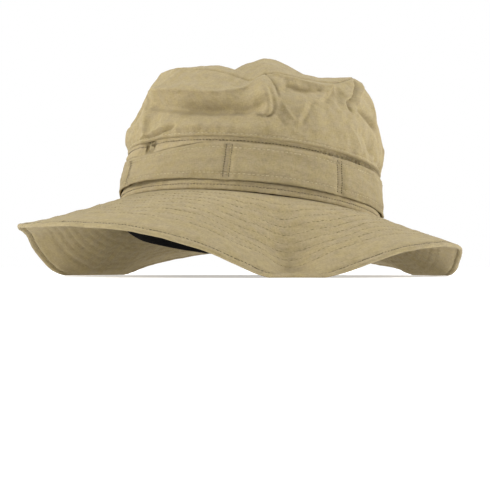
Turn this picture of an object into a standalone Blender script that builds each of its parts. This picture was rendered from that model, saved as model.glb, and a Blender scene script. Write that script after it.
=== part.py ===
"""A soft trekking hat as its sewn cloth pieces, lying on its own rim. Metres, +Z up.

X runs to the hat's right as it is seen, Y runs away from the viewer. Azimuths are counted from
+X towards +Y. Each piece is a closed wall of cloth between two surfaces that follow from the
sizes and the short tables below.
"""
import math

import bpy
import numpy as np

# Driving sizes of the crown
CROWN_RADIUS = 0.0970
CROWN_HEIGHT = 0.1005
TIP_RADIUS = 0.0715
STRIP_HEIGHT = 0.0066
BAND_HEIGHT = 0.0245
CHANNEL_HEIGHT = 0.0046
SWEATBAND_HEIGHT = 0.0300

# Driving sizes of the brim
BRIM_WIDTH = 0.0765
SEAM_HEIGHT = 0.0452

# Cloth, doubled and stiffened where the real hat has it so
CROWN_CLOTH = 0.0016
BAND_CLOTH = 0.0015
BRIM_CLOTH = 0.0024
SWEATBAND_CLOTH = 0.0010
CLEARANCE = 0.0003

# How the crown stands over the brim
LEAN_BACK = math.radians(6.9)
ROLL_RIGHT = math.radians(5.2)

# Small forms
BAND_FLARE = 0.0012
RIDGE_PROUD = 0.0007
WALL_TAPER = 0.055
SEAM_HOLD = 0.16
FLOOR_SOFTNESS = 0.0052
RIM_HEM = 0.0030
TIP_MITRE = math.radians(58.0)
HEAD_OVAL = 0.012

# Mesh steps
AROUND = 78
BRIM_ROWS = 9
SIDE_ROWS = 9
TIP_ROWS = 6
BASE_ROWS = 3
BAND_ROWS = 3
SWEAT_ROWS = 2

# Rim of the brim: azimuth in degrees, height as a share of SEAM_HEIGHT above the floor, cloth width
# as a share of BRIM_WIDTH, rise of the middle of the cloth as a share of its width (below zero it
# sags). A height below zero is cloth pressed flat on the floor.
RIM = (
    (0, 0.08, 0.87, -0.03),
    (13, -0.16, 0.93, 0.00),
    (26, -0.165, 0.98, 0.02),
    (42, 0.13, 1.00, 0.03),
    (62, 0.32, 1.00, 0.01),
    (88, 0.46, 1.00, 0.00),
    (108, 0.37, 1.00, 0.01),
    (124, 0.15, 1.00, 0.03),
    (139, -0.16, 1.00, 0.03),
    (155, -0.17, 1.01, 0.00),
    (166, 0.10, 1.02, -0.03),
    (173, 0.42, 1.01, -0.05),
    (180, 0.68, 0.99, -0.06),
    (196, 0.76, 1.01, -0.04),
    (222, 0.73, 1.02, 0.00),
    (240, 0.66, 1.01, 0.02),
    (251, 0.55, 1.00, 0.04),
    (260, 0.38, 1.00, 0.04),
    (271, 0.07, 1.00, 0.04),
    (281, -0.22, 1.00, 0.04),
    (291, 0.06, 1.00, 0.04),
    (301, 0.28, 0.99, 0.04),
    (310, 0.40, 0.97, 0.03),
    (322, 0.44, 0.93, 0.01),
    (338, 0.40, 0.86, -0.03),
    (350, 0.23, 0.84, -0.04),
)

# Edge of the tip panel: azimuth, height as a share of CROWN_HEIGHT, radius as a share of TIP_RADIUS,
# fullness of the shoulder under it as the power of its curve
TIP_EDGE = (
    (0, 1.05, 1.00, 2.6),
    (35, 1.02, 1.00, 2.4),
    (90, 1.02, 1.02, 2.6),
    (145, 1.01, 1.04, 2.1),
    (180, 0.99, 1.09, 1.9),
    (205, 0.965, 1.07, 2.1),
    (222, 0.935, 1.04, 2.5),
    (238, 0.905, 1.02, 2.8),
    (250, 0.875, 1.01, 3.0),
    (258, 0.845, 0.99, 3.0),
    (265, 0.825, 0.97, 3.0),
    (272, 0.885, 0.96, 2.8),
    (280, 0.900, 0.96, 2.8),
    (290, 0.890, 0.98, 2.8),
    (306, 0.900, 1.00, 2.8),
    (320, 0.945, 1.01, 2.8),
    (332, 1.015, 1.01, 2.8),
    (343, 1.065, 1.00, 2.7),
)

# Lower edge of the sweatband: azimuth, drop below the brim seam as a share of SWEATBAND_HEIGHT
SWEATBAND_EDGE = (
    (0, 0.10),
    (60, 0.20),
    (95, 0.62),
    (150, 0.66),
    (185, 0.46),
    (215, 0.16),
    (250, 0.10),
    (310, 0.10),
)

# Folds of the side wall: azimuth, height share from the band seam to the tip edge, half length and
# half width as shares of CROWN_RADIUS, slant from level in degrees, depth as a share of CROWN_RADIUS
SIDE_FOLDS = (
    (228, 0.66, 0.44, 0.060, 4, 0.034),
    (248, 0.37, 0.36, 0.070, 0, -0.080),
    (245, 0.12, 0.40, 0.060, 0, 0.030),
    (271, 0.66, 0.24, 0.090, 100, 0.078),
    (282, 0.70, 0.14, 0.045, 85, -0.016),
    (289, 0.74, 0.17, 0.060, 10, -0.034),
    (313, 0.80, 0.15, 0.065, 45, -0.032),
    (330, 0.50, 0.14, 0.040, -30, -0.032),
    (344, 0.80, 0.22, 0.060, 60, 0.022),
    (216, 0.34, 0.26, 0.045, 88, 0.024),
    (198, 0.40, 0.24, 0.060, 70, -0.022),
    (188, 0.18, 0.22, 0.090, 0, 0.034),
    (330, 0.18, 0.16, 0.060, -60, -0.020),
    (356, 0.22, 0.26, 0.110, 0, 0.020),
    (20, 0.55, 0.30, 0.080, 70, -0.040),
    (45, 0.35, 0.34, 0.080, 20, -0.035),
    (70, 0.62, 0.34, 0.070, -10, 0.026),
    (98, 0.40, 0.44, 0.090, 4, -0.050),
    (128, 0.66, 0.30, 0.060, 60, -0.036),
    (152, 0.35, 0.30, 0.070, -40, -0.030),
)

# Dents of the tip panel: place to the right and to the back, half length and half width as shares of
# TIP_RADIUS, slant from the X axis in degrees, depth as a share of CROWN_HEIGHT
TIP_DENTS = (
    (0.00, -0.05, 0.75, 0.75, 0, 0.100),
    (-0.28, -0.50, 0.42, 0.16, 104, -0.045),
    (0.15, -0.32, 0.50, 0.28, 84, 0.063),
    (0.42, -0.44, 0.32, 0.18, 60, -0.050),
    (-0.42, 0.12, 0.40, 0.20, 55, -0.050),
    (0.30, 0.35, 0.44, 0.18, -35, -0.055),
    (-0.16, 0.60, 0.36, 0.16, 12, 0.030),
    (0.62, 0.05, 0.30, 0.14, 85, 0.035),
)

# Colours in linear light
KHAKI = (0.440, 0.355, 0.215, 1.0)
DARK_KHAKI = (0.400, 0.320, 0.190, 1.0)
BLACK = (0.012, 0.012, 0.013, 1.0)


def smooth_around(table, column, azimuth):
    """Read one column of a table at each azimuth, smoothly and without overshoot."""
    rows = sorted(table)
    turn = 2.0 * math.pi
    knots = np.array([math.radians(row[0]) for row in rows])
    values = np.array([row[column] for row in rows], dtype=float)
    knots = np.concatenate((knots[-2:] - turn, knots, knots[:2] + turn))
    values = np.concatenate((values[-2:], values, values[:2]))
    steps = np.diff(knots)
    rises = np.diff(values) / steps
    slopes = np.zeros(len(knots))
    for i in range(1, len(knots) - 1):
        before = rises[i - 1]
        after = rises[i]
        if before * after > 0.0:
            slopes[i] = 2.0 * before * after / (before + after)
    angle = np.mod(azimuth, turn)
    index = np.clip(np.searchsorted(knots, angle, side="right") - 1, 1, len(knots) - 3)
    width = steps[index]
    t = (angle - knots[index]) / width
    start = (1.0 + 2.0 * t) * (1.0 - t) ** 2 * values[index]
    start_slope = t * (1.0 - t) ** 2 * width * slopes[index]
    end = t * t * (3.0 - 2.0 * t) * values[index + 1]
    end_slope = t * t * (t - 1.0) * width * slopes[index + 1]
    return start + start_slope + end + end_slope


def turned(x, y, z):
    """Stand the hat's own frame, whose zero is the middle of the brim seam, over the floor."""
    rolled_x = x * math.cos(ROLL_RIGHT) + z * math.sin(ROLL_RIGHT)
    rolled_z = z * math.cos(ROLL_RIGHT) - x * math.sin(ROLL_RIGHT)
    leant_y = y * math.cos(LEAN_BACK) + rolled_z * math.sin(LEAN_BACK)
    leant_z = rolled_z * math.cos(LEAN_BACK) - y * math.sin(LEAN_BACK)
    return np.stack((rolled_x, leant_y, leant_z + SEAM_HEIGHT), axis=-1)


def base_radius(azimuth):
    """Outer radius of the lower wall: a slightly long oval."""
    return CROWN_RADIUS * (1.0 - HEAD_OVAL * np.cos(2.0 * azimuth))


def oval_bump(along, across, half_length, half_width):
    """A soft bump, 1 in its middle."""
    return np.exp(-(along / half_length) ** 2 - (across / half_width) ** 2)


def side_seam_height():
    """Height of the ridge seam above the brim seam."""
    return STRIP_HEIGHT + BAND_HEIGHT + CHANNEL_HEIGHT


def side_fold(azimuth, share):
    """Outward push of the side wall's folds."""
    wall = (CROWN_HEIGHT - side_seam_height()) / CROWN_RADIUS
    total = np.zeros(np.broadcast(azimuth, share).shape)
    for centre, height, half_length, half_width, slant, depth in SIDE_FOLDS:
        across = np.mod(azimuth - math.radians(centre) + math.pi, 2.0 * math.pi) - math.pi
        up = (share - height) * wall
        tilt = math.radians(slant)
        along = across * math.cos(tilt) + up * math.sin(tilt)
        aside = up * math.cos(tilt) - across * math.sin(tilt)
        total = total + depth * oval_bump(along, aside, half_length, half_width)
    near = np.clip(share / SEAM_HOLD, 0.0, 1.0)
    return CROWN_RADIUS * total * near * near * (3.0 - 2.0 * near)


def side_foot(azimuth):
    """Radius and height of the side wall's lower edge."""
    low = side_seam_height()
    return base_radius(azimuth) - WALL_TAPER * low + RIDGE_PROUD, low + CLEARANCE


def side_surface(azimuth, share):
    """Outer face of the side wall, from the ridge seam (0) to the tip edge (1)."""
    foot, low = side_foot(azimuth)
    top = CROWN_HEIGHT * smooth_around(TIP_EDGE, 1, azimuth)
    edge = TIP_RADIUS * smooth_around(TIP_EDGE, 2, azimuth)
    fold = side_fold(azimuth, share)
    fullness = smooth_around(TIP_EDGE, 3, azimuth)
    radius = edge + (foot - edge) * (1.0 - share ** fullness) + fold
    height = low + (top - low) * share
    return turned(radius * np.cos(azimuth), radius * np.sin(azimuth), height)


def tip_joint(azimuth, away):
    """Front and back edge rings where side wall and tip panel meet, cut on one mitre.

    away is 1 for the tip panel's side of the clearance and -1 for the side wall's.
    """
    radius = TIP_RADIUS * smooth_around(TIP_EDGE, 2, azimuth) + side_fold(azimuth, np.ones_like(azimuth))
    height = CROWN_HEIGHT * smooth_around(TIP_EDGE, 1, azimuth)
    shift = away * CLEARANCE / 2.0
    rings = []
    for depth in (0.0, CROWN_CLOTH):
        ring_radius = radius - depth * math.cos(TIP_MITRE) - shift * math.sin(TIP_MITRE)
        ring_height = height - depth * math.sin(TIP_MITRE) + shift * math.cos(TIP_MITRE)
        rings.append(turned(ring_radius * np.cos(azimuth), ring_radius * np.sin(azimuth), ring_height))
    return rings


def tip_surface(azimuth, share):
    """Outer face of the tip panel, from its edge (0) to its middle (1)."""
    edge_point_height = CROWN_HEIGHT * smooth_around(TIP_EDGE, 1, azimuth)
    edge_radius = TIP_RADIUS * smooth_around(TIP_EDGE, 2, azimuth)
    edge_radius = edge_radius + side_fold(azimuth, np.ones_like(azimuth))
    out = 1.0 - share
    radius = edge_radius * out
    x = radius * np.cos(azimuth)
    y = radius * np.sin(azimuth)
    blend = out ** 3
    height = CROWN_HEIGHT + (edge_point_height - CROWN_HEIGHT) * blend
    dent = np.zeros(np.broadcast(azimuth, share).shape)
    for right, back, half_length, half_width, slant, depth in TIP_DENTS:
        tilt = math.radians(slant)
        dx = x / TIP_RADIUS - right
        dy = y / TIP_RADIUS - back
        along = dx * math.cos(tilt) + dy * math.sin(tilt)
        aside = dy * math.cos(tilt) - dx * math.sin(tilt)
        dent = dent + depth * oval_bump(along, aside, half_length, half_width)
    hold = 1.0 - out ** 6
    return turned(x, y, height + CROWN_HEIGHT * dent * hold)


def wall_surface(azimuth, share, low, high, outward, flare):
    """A wall round the head from low to high, outward of the lower wall and drawn in like it."""
    height = low + (high - low) * share
    taper = WALL_TAPER * np.maximum(height, 0.0)
    radius = base_radius(azimuth) - taper + outward + flare * (1.0 - share) ** 2
    return turned(radius * np.cos(azimuth), radius * np.sin(azimuth), height)


def laid_on_floor(height):
    """Height of cloth that the floor stops: softly bent just above it, flat on it below."""
    bent = (height + FLOOR_SOFTNESS) ** 2 / (4.0 * FLOOR_SOFTNESS)
    bent = np.where(height < -FLOOR_SOFTNESS, 0.0, bent)
    return np.where(height > FLOOR_SOFTNESS, height, bent)


def brim_surface(azimuth, share):
    """Under face of the brim, from the seam (0) to the rim (1)."""
    seam_radius = base_radius(azimuth) - CROWN_CLOTH
    seam = turned(
        seam_radius * np.cos(azimuth),
        seam_radius * np.sin(azimuth),
        np.full_like(azimuth, -CLEARANCE - BRIM_CLOTH),
    )
    rim_height = SEAM_HEIGHT * smooth_around(RIM, 1, azimuth)
    width = BRIM_WIDTH * smooth_around(RIM, 2, azimuth)
    drop = seam[..., 2] - rim_height
    steepest = 0.94
    reach = np.sqrt(width ** 2 - np.minimum(drop, steepest * width) ** 2)
    slope = np.stack((drop, reach), axis=-1) / width[..., None]
    bulge = smooth_around(RIM, 3, azimuth) * width * 4.0 * share * (1.0 - share)
    out = reach * share + bulge * slope[..., 0]
    height = seam[..., 2] - drop * share + bulge * slope[..., 1]
    x = seam[..., 0] + out * np.cos(azimuth)
    y = seam[..., 1] + out * np.sin(azimuth)
    return np.stack((x, y, laid_on_floor(height)), axis=-1)


def normals(surface, azimuth, share):
    """Outward unit normals of a surface, by small steps."""
    step = 1e-4
    low = np.clip(share - step, 0.0, 1.0)
    high = np.clip(share + step, 0.0, 1.0)
    around = surface(azimuth + step, share) - surface(azimuth - step, share)
    along = surface(azimuth, high) - surface(azimuth, low)
    normal = np.cross(around, along)
    length = np.linalg.norm(normal, axis=-1, keepdims=True)
    return normal / np.maximum(length, 1e-12)


def grid(rows, first, last):
    """Azimuth and share of each point of a ring mesh."""
    azimuth = np.linspace(0.0, 2.0 * math.pi, AROUND, endpoint=False)
    share = np.linspace(first, last, rows + 1)
    return np.meshgrid(azimuth, share)


def new_object(name, points, faces, colour, roughness):
    """One named object with its own material."""
    mesh = bpy.data.meshes.new(name)
    mesh.from_pydata([tuple(p) for p in points], [], faces)
    mesh.update()
    mesh.shade_smooth()
    mesh.set_sharp_from_angle(angle=math.radians(50.0))
    material = bpy.data.materials.new(name + "_cloth")
    material.use_nodes = True
    shader = material.node_tree.nodes["Principled BSDF"]
    shader.inputs["Base Color"].default_value = colour
    shader.inputs["Roughness"].default_value = roughness
    shader.inputs["Metallic"].default_value = 0.0
    mesh.materials.append(material)
    thing = bpy.data.objects.new(name, mesh)
    bpy.context.scene.collection.objects.link(thing)
    return thing


def ring_faces(rows, offset, flip):
    """Triangles of one ring sheet, split along the same diagonal everywhere."""
    faces = []
    for row in range(rows):
        for step in range(AROUND):
            after = (step + 1) % AROUND
            a = offset + row * AROUND + step
            b = offset + row * AROUND + after
            c = offset + (row + 1) * AROUND + after
            d = offset + (row + 1) * AROUND + step
            pair = [(a, b, c), (a, c, d)]
            faces.extend([face[::-1] for face in pair] if flip else pair)
    return faces


def edge_faces(front, back, flip):
    """Triangles that join two rings of points, edge to edge."""
    faces = []
    for step in range(AROUND):
        after = (step + 1) % AROUND
        pair = [(front + step, back + step, back + after), (front + step, back + after, front + after)]
        faces.extend([face[::-1] for face in pair] if flip else pair)
    return faces


def ring_shell(name, front, back, rows, colour, roughness):
    """A closed wall of cloth between a front and a back sheet of ring points."""
    points = np.concatenate((front.reshape(-1, 3), back.reshape(-1, 3)))
    count = (rows + 1) * AROUND
    faces = ring_faces(rows, 0, False)
    faces += ring_faces(rows, count, True)
    faces += edge_faces(0, count, False)
    faces += edge_faces(rows * AROUND, count + rows * AROUND, True)
    return new_object(name, points, faces, colour, roughness)


def cloth_ring(name, surface, rows, cloth, colour, roughness, last=1.0):
    """A ring of cloth whose front face is the surface and whose back lies one cloth behind it."""
    azimuth, share = grid(rows, 0.0, last)
    front = surface(azimuth, share)
    back = front - cloth * normals(surface, azimuth, share)
    return ring_shell(name, front, back, rows, colour, roughness)


def build_crown_base():
    """Lower wall behind the band, with the stitched strip at its foot."""
    def surface(azimuth, share):
        return wall_surface(azimuth, share, 0.0, side_seam_height(), 0.0, 0.0)
    return cloth_ring("crown_base", surface, BASE_ROWS, CROWN_CLOTH, DARK_KHAKI, 0.9)


def build_crown_side():
    """Upper wall with its folds, from the ridge seam to the tip edge."""
    azimuth, share = grid(SIDE_ROWS, 0.0, 1.0)
    front = side_surface(azimuth, share)
    back = front - CROWN_CLOTH * normals(side_surface, azimuth, share)
    radius, low = side_foot(azimuth[0])
    inner = radius - CROWN_CLOTH
    back[0] = turned(inner * np.cos(azimuth[0]), inner * np.sin(azimuth[0]), np.full_like(inner, low))
    front[-1], back[-1] = tip_joint(azimuth[-1], -1.0)
    return ring_shell("crown_side", front, back, SIDE_ROWS, KHAKI, 0.9)


def build_crown_tip():
    """Dented top panel, a closed sheet with one middle point a side."""
    azimuth, share = grid(TIP_ROWS, 0.0, TIP_ROWS / (TIP_ROWS + 1.0))
    front = tip_surface(azimuth, share)
    back = front - CROWN_CLOTH * normals(tip_surface, azimuth, share)
    front[0], back[0] = tip_joint(azimuth[0], 1.0)
    count = (TIP_ROWS + 1) * AROUND
    top = tip_surface(np.zeros(1), np.ones(1))[0]
    points = np.concatenate((front.reshape(-1, 3), back.reshape(-1, 3), [top]))
    points = np.concatenate((points, [top - np.array((0.0, 0.0, CROWN_CLOTH))]))
    faces = ring_faces(TIP_ROWS, 0, False)
    faces += ring_faces(TIP_ROWS, count, True)
    faces += edge_faces(0, count, False)
    inner = TIP_ROWS * AROUND
    for step in range(AROUND):
        after = (step + 1) % AROUND
        faces.append((inner + step, inner + after, 2 * count))
        faces.append((count + inner + after, count + inner + step, 2 * count + 1))
    return new_object("crown_tip", points, faces, KHAKI, 0.9)


def build_hat_band():
    """Wide strip laid round the crown, its lower edge free."""
    def surface(azimuth, share):
        outward = CLEARANCE + BAND_CLOTH
        top = STRIP_HEIGHT + BAND_HEIGHT
        return wall_surface(azimuth, share, STRIP_HEIGHT, top, outward, BAND_FLARE)
    return cloth_ring("hat_band", surface, BAND_ROWS, BAND_CLOTH, KHAKI, 0.9)


def build_sweatband():
    """Black band inside the lower wall, its foot slipped below the brim seam at the back left."""
    def surface(azimuth, share):
        inward = -CROWN_CLOTH - CLEARANCE
        foot = -SWEATBAND_HEIGHT * smooth_around(SWEATBAND_EDGE, 1, azimuth)
        return wall_surface(azimuth, share, foot, foot + SWEATBAND_HEIGHT, inward, 0.0)
    return cloth_ring("sweatband", surface, SWEAT_ROWS, SWEATBAND_CLOTH, BLACK, 0.85)


def build_brim():
    """Stiffened brim, waved round its rim and flat where it lies on the floor."""
    azimuth, share = grid(BRIM_ROWS - 1, 0.0, 1.0 - RIM_HEM / BRIM_WIDTH)
    azimuth = np.concatenate((azimuth, azimuth[:1]))
    share = np.concatenate((share, np.ones_like(share[:1])))
    under = brim_surface(azimuth, share)
    upper = under - BRIM_CLOTH * normals(brim_surface, azimuth, share)
    return ring_shell("brim", under, upper, BRIM_ROWS, KHAKI, 0.9)


def centre_on_footprint(things):
    """Put the origin under the middle of the whole hat's box."""
    corners = np.array([v.co for thing in things for v in thing.data.vertices])
    middle = (corners.min(axis=0) + corners.max(axis=0)) / 2.0
    for thing in things:
        for vertex in thing.data.vertices:
            vertex.co.x -= middle[0]
            vertex.co.y -= middle[1]


def main():
    for old in list(bpy.data.objects):
        bpy.data.objects.remove(old, do_unlink=True)
    things = [
        build_crown_base(),
        build_crown_side(),
        build_crown_tip(),
        build_hat_band(),
        build_sweatband(),
        build_brim(),
    ]
    centre_on_footprint(things)


main()
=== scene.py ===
"""Looks of the trekking hat: its cloth pieces with folds, quilting, stitches and weave.

Metres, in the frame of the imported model. X runs to the right as the hat is seen, Y away from the
viewer, Z up. Azimuths are counted from +X towards +Y round the crown's own axis. The sizes of the
crown, the brim and the cloth, and the tables RIM to TIP_DENTS, are those of the CAD source. Creases,
sewing and fine forms are added on top of them.
"""
import math

import bpy
import numpy as np
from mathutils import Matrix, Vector

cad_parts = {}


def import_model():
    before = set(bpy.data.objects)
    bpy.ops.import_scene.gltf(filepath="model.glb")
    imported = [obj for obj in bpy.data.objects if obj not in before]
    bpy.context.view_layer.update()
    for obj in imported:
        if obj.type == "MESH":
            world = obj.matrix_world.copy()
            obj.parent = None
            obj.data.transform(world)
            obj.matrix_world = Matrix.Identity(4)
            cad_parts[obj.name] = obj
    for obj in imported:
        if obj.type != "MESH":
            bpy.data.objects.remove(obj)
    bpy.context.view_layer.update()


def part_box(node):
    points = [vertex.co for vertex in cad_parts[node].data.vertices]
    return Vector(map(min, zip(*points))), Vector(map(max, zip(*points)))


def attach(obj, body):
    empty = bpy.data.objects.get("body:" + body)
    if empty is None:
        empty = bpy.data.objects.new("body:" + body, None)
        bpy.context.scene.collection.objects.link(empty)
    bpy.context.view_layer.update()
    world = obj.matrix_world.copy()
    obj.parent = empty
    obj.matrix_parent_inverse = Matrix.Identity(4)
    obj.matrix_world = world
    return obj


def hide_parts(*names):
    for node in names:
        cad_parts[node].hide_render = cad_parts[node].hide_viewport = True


# Sizes of the crown
CROWN_RADIUS = 0.0970
CROWN_HEIGHT = 0.1005
TIP_RADIUS = 0.0715
STRIP_HEIGHT = 0.0066
BAND_HEIGHT = 0.0245
CHANNEL_HEIGHT = 0.0046
SWEATBAND_HEIGHT = 0.0300

# Sizes of the brim
BRIM_WIDTH = 0.0765
SEAM_HEIGHT = 0.0452

# Heights of the ridge seam above the brim seam and of the side wall above the ridge seam
RIDGE_SEAM_HEIGHT = STRIP_HEIGHT + BAND_HEIGHT + CHANNEL_HEIGHT
SIDE_WALL_HEIGHT = CROWN_HEIGHT - RIDGE_SEAM_HEIGHT

# Cloth
CROWN_CLOTH = 0.0016
BAND_CLOTH = 0.0015
BRIM_CLOTH = 0.0024
SWEATBAND_CLOTH = 0.0010
CLEARANCE = 0.0003

# How the crown stands over the brim
LEAN_BACK = math.radians(6.9)
ROLL_RIGHT = math.radians(5.2)

# Small forms of the CAD source
BAND_FLARE = 0.0012
RIDGE_PROUD = 0.0007
WALL_TAPER = 0.055
SEAM_HOLD = 0.16
FLOOR_SOFTNESS = 0.0052
STEEPEST_BRIM = 0.94
TIP_MITRE = math.radians(58.0)
HEAD_OVAL = 0.012

# Rim of the brim: azimuth in degrees, height as a share of SEAM_HEIGHT above the floor, cloth width
# as a share of BRIM_WIDTH, rise of the middle of the cloth as a share of its width (below zero it
# sags). A height below zero is cloth pressed flat on the floor.
RIM = (
    (0, 0.08, 0.87, -0.03),
    (13, -0.16, 0.93, 0.00),
    (26, -0.165, 0.98, 0.02),
    (42, 0.13, 1.00, 0.03),
    (62, 0.32, 1.00, 0.01),
    (88, 0.46, 1.00, 0.00),
    (108, 0.37, 1.00, 0.01),
    (124, 0.15, 1.00, 0.03),
    (139, -0.16, 1.00, 0.03),
    (155, -0.17, 1.01, 0.00),
    (166, 0.10, 1.02, -0.03),
    (173, 0.42, 1.01, -0.05),
    (180, 0.68, 0.99, -0.06),
    (196, 0.76, 1.01, -0.04),
    (222, 0.73, 1.02, 0.00),
    (240, 0.66, 1.01, 0.02),
    (251, 0.55, 1.00, 0.04),
    (260, 0.38, 1.00, 0.04),
    (271, 0.07, 1.00, 0.04),
    (281, -0.22, 1.00, 0.04),
    (291, 0.06, 1.00, 0.04),
    (301, 0.28, 0.99, 0.04),
    (310, 0.40, 0.97, 0.03),
    (322, 0.44, 0.93, 0.01),
    (338, 0.40, 0.86, -0.03),
    (350, 0.23, 0.84, -0.04),
)

# Edge of the tip panel: azimuth, height as a share of CROWN_HEIGHT, radius as a share of TIP_RADIUS,
# fullness of the shoulder under it as the power of its curve
TIP_EDGE = (
    (0, 1.05, 1.00, 2.6),
    (35, 1.02, 1.00, 2.4),
    (90, 1.02, 1.02, 2.6),
    (145, 1.01, 1.04, 2.1),
    (180, 0.99, 1.09, 1.9),
    (205, 0.965, 1.07, 2.1),
    (222, 0.935, 1.04, 2.5),
    (238, 0.905, 1.02, 2.8),
    (250, 0.875, 1.01, 3.0),
    (258, 0.845, 0.99, 3.0),
    (265, 0.825, 0.97, 3.0),
    (272, 0.885, 0.96, 2.8),
    (280, 0.900, 0.96, 2.8),
    (290, 0.890, 0.98, 2.8),
    (306, 0.900, 1.00, 2.8),
    (320, 0.945, 1.01, 2.8),
    (332, 1.015, 1.01, 2.8),
    (343, 1.065, 1.00, 2.7),
)

# Lower edge of the sweatband: azimuth, drop below the brim seam as a share of SWEATBAND_HEIGHT
SWEATBAND_EDGE = (
    (0, 0.10),
    (60, 0.20),
    (95, 0.62),
    (150, 0.66),
    (185, 0.46),
    (215, 0.16),
    (250, 0.10),
    (310, 0.10),
)

# Folds of the side wall: azimuth, height share from the band seam to the tip edge, half length and
# half width as shares of CROWN_RADIUS, slant from level in degrees, depth as a share of CROWN_RADIUS
SIDE_FOLDS = (
    (228, 0.66, 0.44, 0.060, 4, 0.034),
    (248, 0.37, 0.36, 0.070, 0, -0.080),
    (245, 0.12, 0.40, 0.060, 0, 0.030),
    (271, 0.66, 0.24, 0.090, 100, 0.078),
    (282, 0.70, 0.14, 0.045, 85, -0.016),
    (289, 0.74, 0.17, 0.060, 10, -0.034),
    (313, 0.80, 0.15, 0.065, 45, -0.032),
    (330, 0.50, 0.14, 0.040, -30, -0.032),
    (344, 0.80, 0.22, 0.060, 60, 0.022),
    (216, 0.34, 0.26, 0.045, 88, 0.024),
    (198, 0.40, 0.24, 0.060, 70, -0.022),
    (188, 0.18, 0.22, 0.090, 0, 0.034),
    (330, 0.18, 0.16, 0.060, -60, -0.020),
    (356, 0.22, 0.26, 0.110, 0, 0.020),
    (20, 0.55, 0.30, 0.080, 70, -0.040),
    (45, 0.35, 0.34, 0.080, 20, -0.035),
    (70, 0.62, 0.34, 0.070, -10, 0.026),
    (98, 0.40, 0.44, 0.090, 4, -0.050),
    (128, 0.66, 0.30, 0.060, 60, -0.036),
    (152, 0.35, 0.30, 0.070, -40, -0.030),
)

# Dents of the tip panel: place to the right and to the back, half length and half width as shares of
# TIP_RADIUS, slant from the X axis in degrees, depth as a share of CROWN_HEIGHT
TIP_DENTS = (
    (0.00, -0.05, 0.75, 0.75, 0, 0.100),
    (-0.28, -0.50, 0.42, 0.16, 104, -0.045),
    (0.15, -0.32, 0.50, 0.28, 84, 0.063),
    (0.42, -0.44, 0.32, 0.18, 60, -0.050),
    (-0.42, 0.12, 0.40, 0.20, 55, -0.050),
    (0.30, 0.35, 0.44, 0.18, -35, -0.055),
    (-0.16, 0.60, 0.36, 0.16, 12, 0.030),
    (0.62, 0.05, 0.30, 0.14, 85, 0.035),
)

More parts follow.
